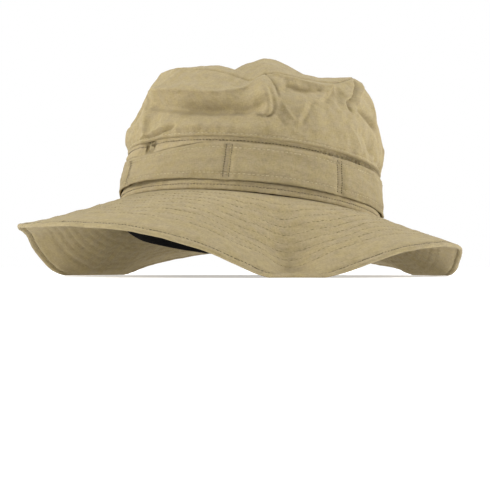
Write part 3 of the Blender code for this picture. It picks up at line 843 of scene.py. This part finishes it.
def band_surface(azimuth, share):
    """Outer face of the band, from its free lower edge (0) to its top edge (1)."""
    x = azimuth * CROWN_RADIUS
    up = share * BAND_HEIGHT
    loose = (1.0 - share) ** 2
    pinch, lines = bar_pinch(azimuth)
    belly = 4.0 * share * (1.0 - share)
    gape = 1.0 + uneven(x, up, "band_gape")
    sag = band_sag(azimuth)
    outward = CLEARANCE + BAND_CLOTH + BAND_FLARE * loose
    outward = outward + (BAND_BELLY * belly + BAND_GAPE * loose * gape) * (1.0 - pinch)
    outward = outward - BAR_PINCH * pinch * (1.0 - loose) - lines
    for row in (BAND_HEIGHT - BAND_TOP_INSET, BAND_FOOT_INSET):
        outward = outward - swell(up - row, BAND_ROW_GROOVE)
    near_edges = fading(BAND_HEIGHT - up, PUCKER_REACH) + fading(up, PUCKER_REACH)
    outward = outward + uneven(x, up, "band_puckers") * near_edges
    outward = outward + uneven(x, up, "band_crumple") + SAG_EDGE * sag / BAND_SAG * share ** 4
    drift = uneven(x, up, "band_drift") * (1.0 - share)
    return wall_surface(azimuth, STRIP_HEIGHT + up + drift - sag * share, outward)


def sweatband_surface(azimuth, share):
    """Outer face of the sweatband, from its lower edge (0) up."""
    up = share * SWEATBAND_HEIGHT
    height = up - SWEATBAND_HEIGHT * smooth_around(SWEATBAND_EDGE, 1, azimuth)
    wave = uneven(azimuth * CROWN_RADIUS, height, "sweatband_slack")
    slack = SWEATBAND_SLACK * (0.5 + 0.5 * np.clip(wave, -1.0, 1.0))
    inward = CROWN_CLOTH + CLEARANCE + slack + swell(up - HEM_HEIGHT, SWEATBAND_HEM)
    return wall_surface(azimuth, height, -inward)


def laid_on_floor(height):
    """Height of cloth that the floor stops: softly bent just above it, flat on it below."""
    bent = (height + FLOOR_SOFTNESS) ** 2 / (4.0 * FLOOR_SOFTNESS)
    bent = np.where(height < -FLOOR_SOFTNESS, 0.0, bent)
    return np.where(height > FLOOR_SOFTNESS, height, bent)


def brim_surface(azimuth, share):
    """Smooth under face of the brim, from the seam (0) to the rim (1)."""
    seam_radius = base_radius(azimuth) - CROWN_CLOTH
    seam = hat_point(azimuth, seam_radius, np.full_like(azimuth, -CLEARANCE - BRIM_CLOTH))
    width = BRIM_WIDTH * smooth_around(RIM, 2, azimuth)
    drop = seam[..., 2] - SEAM_HEIGHT * smooth_around(RIM, 1, azimuth)
    reach = np.sqrt(width ** 2 - np.minimum(drop, STEEPEST_BRIM * width) ** 2)
    bulge = smooth_around(RIM, 3, azimuth) * 4.0 * share * (1.0 - share)
    out = reach * share + bulge * drop
    height = seam[..., 2] - drop * share + bulge * reach
    x = seam[..., 0] + out * np.cos(azimuth)
    y = seam[..., 1] + out * np.sin(azimuth)
    return np.stack((x, y, laid_on_floor(height)), axis=-1)


def unit(vectors):
    """The same vectors with length 1."""
    return vectors / np.maximum(np.linalg.norm(vectors, axis=-1, keepdims=True), 1e-12)


def normals(surface, azimuth, share):
    """Outward unit normals of a surface, by small steps."""
    step = 2e-4
    low = np.clip(share - step, 0.0, 1.0)
    high = np.clip(share + step, 0.0, 1.0)
    around = surface(azimuth + step, share) - surface(azimuth - step, share)
    along = surface(azimuth, high) - surface(azimuth, low)
    return unit(np.cross(around, along))


def brim_row_shares():
    """Shares of the brim's stitch rows, from the seam outwards. The last one follows the rim."""
    insets = [RIM_ROW_INSET] + [RIM_ROW_INSET + RIM_GAP + BRIM_ROW_PITCH * i for i in range(BRIM_ROWS)]
    return sorted(1.0 - inset / BRIM_WIDTH for inset in insets)


def quilting(azimuth, share):
    """Rise of the brim's two faces over their smooth form: puffed between rows, sunk along them."""
    rise = np.full(np.broadcast(azimuth, share).shape, QUILT_PUFF)
    near = np.zeros(rise.shape)
    for row in brim_row_shares():
        away = (share - row) * BRIM_WIDTH
        rise = rise - QUILT_GROOVE * np.exp(-(np.abs(away) / QUILT_REACH) ** QUILT_POWER)
        near = near + fading(away, QUILT_PUCKER_REACH)
    rise = rise + uneven(azimuth * BRIM_MIDDLE, share * BRIM_WIDTH, "brim_puckers", BRIM_TURN) * near
    return rise - swell((1.0 - share) * BRIM_WIDTH - RIM_ROW_INSET, RIM_ROW_GROOVE)


def brim_wave(azimuth, share):
    """Slow unevenness and creases of the whole brim, up over its smooth form."""
    x = azimuth * BRIM_MIDDLE
    y = share * BRIM_WIDTH
    wave = uneven(x, y, "brim_slow", BRIM_TURN) + uneven(x, y, "brim_fine", BRIM_TURN)
    fold = creases(BRIM_CREASES, x, y, math.radians(BRIM_MIDDLE), BRIM_WIDTH, BRIM_TURN)
    return (wave + fold) * eased(y / BRIM_SEAM_HOLD)


def brim_face(azimuth, share, up):
    """Upper (up 1) or under (up -1) face of the brim."""
    smooth = brim_surface(azimuth, share)
    upward = -normals(brim_surface, azimuth, share)
    rise = brim_wave(azimuth, share) * eased(smooth[..., 2] / FLOOR_HOLD)
    if up > 0:
        rise = rise + BRIM_CLOTH + quilting(azimuth, share) - swell(share * BRIM_WIDTH, BRIM_SEAM_GROOVE)
    else:
        rise = rise - UNDERSIDE_PUFF * quilting(azimuth, share)
    point = smooth + rise[..., None] * upward
    point[..., 2] = np.maximum(point[..., 2], 0.0)
    return point


def brim_top(azimuth, share):
    """Upper face of the brim."""
    return brim_face(azimuth, share, 1)


def brim_under(azimuth, share):
    """Under face of the brim."""
    return brim_face(azimuth, share, -1)


# Meshes

def grid(shares):
    """Azimuth and share of each point of a ring mesh."""
    azimuth = np.linspace(0.0, TURN, AROUND, endpoint=False)
    return np.meshgrid(azimuth, np.asarray(shares))


def row_shares(marks, counts):
    """Shares of mesh rows: even steps between each two marks, as many as their count."""
    shares = []
    for low, high, count in zip(marks[:-1], marks[1:], counts):
        shares += np.linspace(low, high, count, endpoint=False).tolist()
    return shares + [marks[-1]]


def inner_face(surface, shares, cloth):
    """Points of a surface's back, one cloth behind it."""
    azimuth, share = grid(shares)
    return surface(azimuth, share) - cloth * normals(surface, azimuth, share)


def rounded_edge(front, back, outward):
    """Rings between two edge rings, round an edge that bulges outward."""
    middle = (front + back) / 2.0
    half = (front - back) / 2.0
    thick = np.linalg.norm(half, axis=-1, keepdims=True)
    rings = []
    for step in range(1, EDGE_STEPS):
        angle = math.pi * step / EDGE_STEPS
        rings.append(middle + half * math.cos(angle) + outward * thick * math.sin(angle))
    return rings


def ring_loop(front, back, round_first, round_last):
    """Rings of a closed wall: the front, its last edge, the back and its first edge."""
    rings = list(front)
    if round_last:
        rings += rounded_edge(front[-1], back[-1], unit(front[-1] - front[-2]))
    rings += list(back[::-1])
    if round_first:
        rings += rounded_edge(back[0], front[0], unit(front[0] - front[1]))
    return np.array(rings)


def ring_faces(row, next_row):
    """Four-cornered faces between rings of points, from columns of ring numbers."""
    step = np.arange(AROUND)[None, :]
    after = (step + 1) % AROUND
    near = row * AROUND
    far = next_row * AROUND
    corners = np.broadcast_arrays(near + step, near + after, far + after, far + step)
    return np.stack(corners, axis=-1).reshape(-1, 4)


def loop_uv(rings):
    """Flat cloth places in metres of each face's corners: way round and way along the wall."""
    count = len(rings)
    steps = np.linalg.norm(np.roll(rings, -1, axis=0) - rings, axis=-1).mean(axis=1)
    along = np.concatenate(((0.0,), np.cumsum(steps)))
    around = np.linspace(0.0, CROWN_TURN, AROUND + 1)
    left, low = np.meshgrid(around[:-1], along[:-1])
    right, high = np.meshgrid(around[1:], along[1:])
    corners = ((left, low), (right, low), (right, high), (left, high))
    places = [np.stack(corner, axis=-1) for corner in corners]
    return np.stack(places, axis=2).reshape(count * AROUND, 4, 2)


def new_piece(name, points, faces, uvs, material):
    """One shown object from plain lists."""
    mesh = bpy.data.meshes.new(name)
    mesh.from_pydata(points, [], faces)
    mesh.update()
    mesh.shade_smooth()
    if uvs is not None:
        layer = mesh.uv_layers.new(name="Cloth")
        layer.data.foreach_set("uv", np.asarray(uvs, dtype=np.float32).ravel())
    mesh.materials.append(material)
    thing = bpy.data.objects.new(name, mesh)
    bpy.context.scene.collection.objects.link(thing)
    return thing


def loop_piece(name, rings, material, shift):
    """A closed ring of cloth from its loop of rings."""
    row = np.arange(len(rings))[:, None]
    faces = ring_faces(row, (row + 1) % len(rings))
    points = (rings + shift).reshape(-1, 3)
    return new_piece(name, points.tolist(), faces.tolist(), loop_uv(rings), material)


def build_crown_side(material, shift):
    """Side wall with its folds and creases and a rolled edge over the channel."""
    azimuth, share = grid(row_shares(SIDE_MARKS, SIDE_ROWS))
    front = side_surface(azimuth, share)
    back = inner_face(side_surface, np.linspace(0.0, 1.0, SIDE_BACK_ROWS), CROWN_CLOTH)
    foot, low = side_foot(azimuth[0])
    back[0] = hat_point(azimuth[0], foot - CROWN_CLOTH, np.full_like(foot, low))
    front[-1], back[-1] = tip_joint(azimuth[-1], -1.0)
    rings = ring_loop(front, back, True, False)
    return loop_piece("crown_side_cloth", rings, material, shift)


def build_crown_tip(material, shift):
    """Dented top panel: two sheets of rings, each closed by a middle point."""
    azimuth, share = grid(row_shares(TIP_MARKS, TIP_ROWS))
    front = tip_surface(azimuth, share)
    back = inner_face(tip_surface, np.linspace(TIP_MARKS[0], TIP_MARKS[-1], TIP_BACK_ROWS), CROWN_CLOTH)
    front[0], back[0] = tip_joint(azimuth[0], 1.0)
    rings = np.concatenate((back[::-1], front)) + shift
    count = len(rings)
    row = np.arange(count - 1)[:, None]
    faces = ring_faces(row, row + 1).tolist()
    points = rings.reshape(-1, 3).tolist()
    middle = tip_surface(np.zeros(1), np.ones(1))[0] + shift
    points += [middle.tolist(), (middle - np.array((0.0, 0.0, CROWN_CLOTH))).tolist()]
    last = (count - 1) * AROUND
    for i in range(AROUND):
        j = (i + 1) % AROUND
        faces.append((last + i, last + j, count * AROUND))
        faces.append((j, i, count * AROUND + 1))
    uvs = [points[corner][:2] for face in faces for corner in face]
    return new_piece("crown_tip_cloth", points, faces, uvs, material)


def build_ring(name, surface, rows, cloth, material, shift, rounded=True):
    """A ring of cloth whose front is the surface and whose back lies one cloth behind it."""
    azimuth, share = grid(np.linspace(0.0, 1.0, rows))
    front = surface(azimuth, share)
    back = inner_face(surface, np.linspace(0.0, 1.0, RING_BACK_ROWS), cloth)
    return loop_piece(name, ring_loop(front, back, rounded, rounded), material, shift)


def build_brim(material, shift):
    """Quilted brim with both faces, a mesh row on each stitch row and a rounded rim."""
    marks = [0.0] + brim_row_shares() + [1.0]
    counts = [max(3, round(step * BRIM_WIDTH / BRIM_ROW_SPACING)) for step in np.diff(marks)]
    azimuth, share = grid(row_shares(marks, counts))
    rings = ring_loop(brim_under(azimuth, share), brim_top(azimuth, share), False, True)
    rings[..., 2] = np.maximum(rings[..., 2], 0.0)
    return loop_piece("brim_cloth", rings, material, shift)


# Stitches

def even_way(surface, azimuth, share, pitch):
    """Pairs of ends of even stitches along a way of azimuths and shares on a surface."""
    places = surface(azimuth, share)
    steps = np.linalg.norm(np.diff(places, axis=0), axis=-1)
    walked = np.concatenate(((0.0,), np.cumsum(steps)))
    count = max(1, round(walked[-1] / pitch))
    start = np.arange(count) * walked[-1] / count
    finish = start + STITCH_COVER * walked[-1] / count
    ends = []
    for where in (start, finish):
        ends.append((np.interp(where, walked, azimuth), np.interp(where, walked, share)))
    return ends


def row_way(share):
    """A full turn at one share."""
    azimuth = np.linspace(0.0, TURN, ROW_STEPS + 1)
    return azimuth, np.full_like(azimuth, share)


def stitch_points(surface, way, pitch, lift, shift, jitter):
    """Ends and lifted normals of a way's stitches, a little uneven as a machine leaves them."""
    first, second = even_way(surface, way[0], way[1], pitch)
    start = surface(*first) + shift
    end = surface(*second) + shift
    middle = ((first[0] + second[0]) / 2.0, (first[1] + second[1]) / 2.0)
    wobble = (jitter.random((len(start), 3)) - 0.5) * STITCH_WOBBLE
    return start + wobble, end + wobble, lift * normals(surface, *middle)


def thread_piece(name, runs, material):
    """Many small thread arcs, each sunk into the cloth at both ends."""
    start, end, normal = (np.concatenate(parts) for parts in zip(*runs))
    along = end - start
    aside = unit(np.cross(normal, unit(along)))
    rings = []
    for share, size, rise in THREAD_RINGS:
        centre = start + along * share + normal * THREAD_RADIUS * rise
        for side in range(THREAD_SIDES):
            angle = TURN * side / THREAD_SIDES
            spoke = aside * math.cos(angle) + normal * math.sin(angle)
            rings.append(centre + spoke * THREAD_RADIUS * size)
    points = np.stack(rings, axis=1)
    faces = []
    for low in range(0, len(rings) - THREAD_SIDES, THREAD_SIDES):
        high = low + THREAD_SIDES
        for side in range(THREAD_SIDES):
            after = (side + 1) % THREAD_SIDES
            faces.append((low + side, low + after, high + after, high + side))
    first = np.arange(len(start))[:, None, None] * len(rings)
    every = (first + np.array(faces)).reshape(-1, 4)
    return new_piece(name, points.reshape(-1, 3).tolist(), every.tolist(), None, material)


def bar_ways():
    """Ways of the band's bars: two upright lines each."""
    ways = []
    half = BAR_GAP / 2.0 / CROWN_RADIUS
    for bar in BAR_AZIMUTHS:
        for side in (-1.0, 1.0):
            share = np.linspace(*BAR_ENDS, BAR_STEPS + 1)
            ways.append((np.full_like(share, math.radians(bar) + side * half), share))
    return ways


def rung_ways():
    """Ways of the short stitches across the band's bars."""
    ways = []
    half = BAR_GAP / 2.0 / CROWN_RADIUS
    for bar in BAR_AZIMUTHS:
        middle = math.radians(bar)
        for level in np.linspace(*RUNG_ENDS, BAR_RUNGS):
            azimuth = np.linspace(middle - half, middle + half, RUNG_STEPS + 1)
            ways.append((azimuth, np.full_like(azimuth, level)))
    return ways


def build_stitches(threads, shift):
    """All visible sewing, one piece for each kind of row or bar."""
    jitter = np.random.default_rng(STITCH_SEED)
    brim_rows = [row_way(share) for share in brim_row_shares()]
    quilt = brim_rows[:-1]
    rim = brim_rows[-1:]
    band = [row_way(BAND_FOOT_INSET / BAND_HEIGHT), row_way(1.0 - BAND_TOP_INSET / BAND_HEIGHT)]
    base = RIDGE_SEAM_HEIGHT + FOOT_TUCK
    strip = [row_way((STRIP_ROW_HEIGHT + FOOT_TUCK) / base)]
    channel = [row_way(1.0 - CHANNEL_ROW_INSET / base)]
    ridge = [row_way(RIDGE_ROW_HEIGHT / SIDE_WALL_HEIGHT)]
    hem = [row_way(HEM_HEIGHT / SWEATBAND_HEIGHT)]
    sewing = (
        ("brim_stitches_top", brim_top, quilt, STITCH_PITCH, "brim_thread", -0.8),
        ("brim_stitches_under", brim_under, quilt, STITCH_PITCH, "brim_thread", 0.6),
        ("rim_stitches_top", brim_top, rim, ROW_PITCH, "dull_thread", -1.5),
        ("rim_stitches_under", brim_under, rim, STITCH_PITCH, "dull_thread", 1.0),
        ("band_stitches", band_surface, band, STITCH_PITCH, "pale_thread", 1.0),
        ("band_bar_lines", band_surface, bar_ways(), BAR_PITCH, "dark_thread", 1.8),
        ("band_bar_rungs", band_surface, rung_ways(), BAR_GAP, "rung_thread", 0.5),
        ("strip_stitches", base_surface, strip, ROW_PITCH, "dull_thread", 1.6),
        # The channel's stitches are real; their dark thread is painted shade of the recessed channel
        ("channel_stitches_painted_shade", base_surface, channel, ROW_PITCH, "dark_thread", 1.6),
        ("crown_side_stitches", side_surface, ridge, STITCH_PITCH, "pale_thread", 1.0),
        ("sweatband_stitches", sweatband_surface, hem, STITCH_PITCH, "black_thread", 1.0),
    )
    pieces = []
    for name, surface, ways, pitch, thread, lift in sewing:
        runs = [stitch_points(surface, way, pitch, lift, shift, jitter) for way in ways]
        pieces.append(thread_piece(name, runs, threads[thread]))
    return pieces


# Materials

def set_inputs(node, **inputs):
    """Set some inputs of a node. An underscore stands for a space in their names."""
    for name, value in inputs.items():
        node.inputs[name.replace("_", " ")].default_value = value


def add_node(tree, kind, **inputs):
    """A new shader node with some of its inputs set."""
    node = tree.nodes.new(kind)
    set_inputs(node, **inputs)
    return node


def new_material(name):
    """A new material with its node tree and its shader."""
    material = bpy.data.materials.new(name)
    material.use_nodes = True
    tree = material.node_tree
    return material, tree, tree.nodes["Principled BSDF"]


def cloth_places(tree):
    """The flat places of the cloth, in metres."""
    places = tree.nodes.new("ShaderNodeUVMap")
    places.uv_map = "Cloth"
    return places.outputs["UV"]


def object_places(tree):
    """The places of the object in space, in metres."""
    return tree.nodes.new("ShaderNodeTexCoord").outputs["Object"]


def noise(tree, source, form):
    """Value of a noise texture over stretched places."""
    stretch, scale, detail, roughness = form
    texture = add_node(tree, "ShaderNodeTexNoise", Scale=scale, Detail=detail, Roughness=roughness)
    mapping = add_node(tree, "ShaderNodeMapping", Scale=stretch)
    tree.links.new(source, mapping.inputs["Vector"])
    tree.links.new(mapping.outputs["Vector"], texture.inputs["Vector"])
    return texture.outputs["Fac"]


def ramp(tree, source, marks, colours):
    """Colour ramp over a value, with a colour at each mark."""
    node = tree.nodes.new("ShaderNodeValToRGB")
    elements = node.color_ramp.elements
    while len(elements) < len(marks):
        elements.new(0.5)
    for element, mark, colour in zip(elements, marks, colours):
        element.position = mark
        element.color = (*colour, 1.0)
    tree.links.new(source, node.inputs["Fac"])
    return node.outputs["Color"]


def mixed(tree, kind, amount, first, second):
    """Two colours mixed by an amount."""
    node = tree.nodes.new("ShaderNodeMix")
    node.data_type = "RGBA"
    node.blend_type = kind
    node.inputs["Factor"].default_value = amount
    tree.links.new(first, node.inputs["A"])
    tree.links.new(second, node.inputs["B"])
    return node.outputs["Result"]


def bumped(tree, height, relief, before=None):
    """Bump normal over another one."""
    node = add_node(tree, "ShaderNodeBump", Strength=relief[0], Distance=relief[1])
    tree.links.new(height, node.inputs["Height"])
    if before is not None:
        tree.links.new(before, node.inputs["Normal"])
    return node.outputs["Normal"]


def weave(tree, source):
    """Height of a plain weave: threads of both ways added, slightly uneven."""
    total = tree.nodes.new("ShaderNodeMath")
    total.operation = "ADD"
    for i, direction in enumerate(("X", "Y")):
        wave = add_node(tree, "ShaderNodeTexWave", Scale=0.5 / THREAD_SPACING, Distortion=1.2, Detail=1.0)
        wave.wave_type = "BANDS"
        wave.bands_direction = direction
        set_inputs(wave, Detail_Scale=0.3)
        tree.links.new(source, wave.inputs["Vector"])
        tree.links.new(wave.outputs["Fac"], total.inputs[i])
    return total.outputs["Value"]


def khaki_cloth(name, light, dark, slub):
    """Woven cotton: mottled dye, slub streaks both ways, flecks, fine weave and a soft crumple."""
    material, tree, shader = new_material(name)
    source = cloth_places(tree)
    middle = tuple((a + b) / 2.0 for a, b in zip(light, dark))
    pale = tuple(min(1.0, c * (1.0 + slub)) for c in light)
    deep = tuple(c * (1.0 - slub) for c in dark)
    base = ramp(tree, noise(tree, source, MOTTLE), MOTTLE_MARKS, (dark, middle, light))
    streaks = [noise(tree, source, form) for form in STREAKS]
    sets = [ramp(tree, streak, STREAK_MARKS, (deep, middle, pale)) for streak in streaks]
    colour = mixed(tree, "MIX", STREAK_SHARE, base, mixed(tree, "MIX", 0.5, *sets))
    for form, marks, factors in FLECKS:
        flecks = ramp(tree, noise(tree, source, form), marks, factors)
        colour = mixed(tree, "MULTIPLY", 1.0, colour, flecks)
    tree.links.new(colour, shader.inputs["Base Color"])
    set_inputs(shader, Roughness=0.9, Specular_IOR_Level=0.22, Sheen_Weight=0.06, Sheen_Roughness=0.5)
    normal = bumped(tree, noise(tree, source, CRUMPLE), CRUMPLE_RELIEF)
    for streak in streaks:
        normal = bumped(tree, streak, STREAK_RELIEF, normal)
    normal = bumped(tree, weave(tree, source), WEAVE_RELIEF, normal)
    tree.links.new(normal, shader.inputs["Normal"])
    return material


def thread_material(name, light, dark):
    """Sewing thread with fine flecks."""
    material, tree, shader = new_material(name)
    fleck = noise(tree, object_places(tree), THREAD_FLECK)
    tree.links.new(ramp(tree, fleck, (0.35, 0.65), (dark, light)), shader.inputs["Base Color"])
    set_inputs(shader, Roughness=0.7, Specular_IOR_Level=0.25)
    tree.links.new(bumped(tree, fleck, THREAD_RELIEF), shader.inputs["Normal"])
    return material


def black_knit(name):
    """Black brushed knit with fine ribs."""
    material, tree, shader = new_material(name)
    source = cloth_places(tree)
    fuzz = noise(tree, source, KNIT_FUZZ)
    ribs = noise(tree, source, KNIT_RIBS)
    tree.links.new(ramp(tree, fuzz, (0.30, 0.70), (KNIT_DARK, KNIT_LIGHT)), shader.inputs["Base Color"])
    set_inputs(shader, Roughness=0.88, Specular_IOR_Level=0.15, Sheen_Weight=0.05)
    normal = bumped(tree, fuzz, FUZZ_RELIEF, bumped(tree, ribs, RIB_RELIEF))
    tree.links.new(normal, shader.inputs["Normal"])
    return material


def plain_floor(name):
    """Near-white paper that also glows, more strongly away from the hat."""
    material, tree, shader = new_material(name)
    source = object_places(tree)
    paper = ramp(tree, noise(tree, source, PAPER_GRAIN), (0.3, 0.7), (PAPER_DARK, PAPER_LIGHT))
    distance = tree.nodes.new("ShaderNodeVectorMath")
    distance.operation = "LENGTH"
    glow = tree.nodes.new("ShaderNodeMapRange")
    set_inputs(glow, From_Min=FLOOR_NEAR, From_Max=FLOOR_FAR, To_Min=FLOOR_GLOW, To_Max=FAR_FLOOR_GLOW)
    tree.links.new(source, distance.inputs[0])
    tree.links.new(distance.outputs["Value"], glow.inputs["Value"])
    tree.links.new(paper, shader.inputs["Base Color"])
    tree.links.new(paper, shader.inputs["Emission Color"])
    tree.links.new(glow.outputs["Result"], shader.inputs["Emission Strength"])
    set_inputs(shader, Roughness=0.95, Specular_IOR_Level=0.1)
    return material


# Scene

def build_floor():
    """A wide plain floor."""
    corners = ((-1, -1), (1, -1), (1, 1), (-1, 1))
    points = [(x * FLOOR_HALF, y * FLOOR_HALF, -FLOOR_GAP) for x, y in corners]
    floor = new_piece("studio_floor", points, [(0, 1, 2, 3)], None, plain_floor("studio_paper"))


def add_area_light(name, place, size, power):
    """A soft square light aimed at the hat."""
    data = bpy.data.lights.new(name, "AREA")
    data.shape = "SQUARE"
    data.size = size
    data.energy = power
    light = bpy.data.objects.new(name, data)
    light.location = place
    light.rotation_euler = (Vector(LIGHT_AIM) - Vector(place)).to_track_quat("-Z", "Y").to_euler()
    bpy.context.scene.collection.objects.link(light)


def studio_surroundings():
    """A bright wall behind the hat, dimmer ones elsewhere, and all of them bright at their foot."""
    world = bpy.data.worlds.new("studio")
    bpy.context.scene.world = world
    world.use_nodes = True
    tree = world.node_tree
    heading = tree.nodes.new("ShaderNodeTexCoord").outputs["Generated"]
    parts = tree.nodes.new("ShaderNodeSeparateXYZ")
    tree.links.new(heading, parts.inputs["Vector"])
    dim = (DIM_WALLS,) * 3
    back_wall = ramp(tree, parts.outputs["Y"], BACK_WALL, (dim, WHITE))
    wall_foot = ramp(tree, parts.outputs["Z"], WALL_FOOT, (WHITE, dim))
    walls = mixed(tree, "LIGHTEN", 1.0, back_wall, wall_foot)
    tree.links.new(walls, tree.nodes["Background"].inputs["Color"])


def build_lights():
    """Soft lights from the left, the right and above, in bright surroundings."""
    studio_surroundings()
    for light in LIGHTS:
        add_area_light(*light)


def build_camera(axis):
    """The photograph's camera, low in front of the hat. axis is the place of the crown's axis."""
    data = bpy.data.cameras.new("viewer")
    data.lens = CAMERA_LENS
    data.sensor_width = SENSOR_WIDTH
    data.clip_start = 0.01
    camera = bpy.data.objects.new("viewer", data)
    camera.location = (axis[0] + CAMERA_SIDE, axis[1] - CAMERA_DISTANCE, CAMERA_HEIGHT)
    camera.rotation_euler = (math.pi / 2.0 + CAMERA_PITCH, 0.0, 0.0)
    bpy.context.scene.collection.objects.link(camera)
    bpy.context.scene.camera = camera


def crown_shift():
    """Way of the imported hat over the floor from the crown's own frame, and the crown's middle."""
    azimuth, share = np.meshgrid(np.linspace(0.0, TURN, MEASURE_STEPS + 1), np.array((0.0, 1.0)))
    wall = wall_surface(azimuth, share * RIDGE_SEAM_HEIGHT, 0.0).reshape(-1, 3)
    middle = (wall.min(axis=0) + wall.max(axis=0)) / 2.0
    low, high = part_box("crown_base")
    centre = np.array((low + high) / 2.0)
    return np.array((centre[0] - middle[0], centre[1] - middle[1], 0.0)), centre


def dress(piece, node):
    """Put a cloth piece on the hat's body in place of a CAD node."""
    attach(piece, "root")
    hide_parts(node)


def main():
    """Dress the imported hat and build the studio."""
    bpy.context.scene.view_settings.view_transform = "Standard"
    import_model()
    shift, middle = crown_shift()
    cloths = {name: khaki_cloth(name, *looks) for name, looks in KHAKI_CLOTHS.items()}
    crown = cloths["crown_cotton"]
    # Lower wall's cotton, lightened as painted light against the shade under the band
    base = cloths["base_cotton_with_painted_light"]
    band = cloths["band_cotton"]
    knit = black_knit("sweatband_knit")
    threads = {name: thread_material(name, *looks) for name, looks in THREADS.items()}

    dress(build_crown_side(crown, shift), "crown_side")
    dress(build_crown_tip(crown, shift), "crown_tip")
    wall = build_ring("crown_base_cloth", base_surface, BASE_ROWS, CROWN_CLOTH, base, shift, False)
    dress(wall, "crown_base")
    strip = build_ring("hat_band_cloth", band_surface, BAND_ROWS, BAND_CLOTH, band, shift)
    dress(strip, "hat_band")
    sweat = build_ring("sweatband_knit", sweatband_surface, SWEATBAND_ROWS, SWEATBAND_CLOTH, knit, shift)
    dress(sweat, "sweatband")
    dress(build_brim(cloths["brim_cotton"], shift), "brim")
    for piece in build_stitches(threads, shift):
        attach(piece, "root")

    build_floor()
    build_lights()
    build_camera(middle)


main()
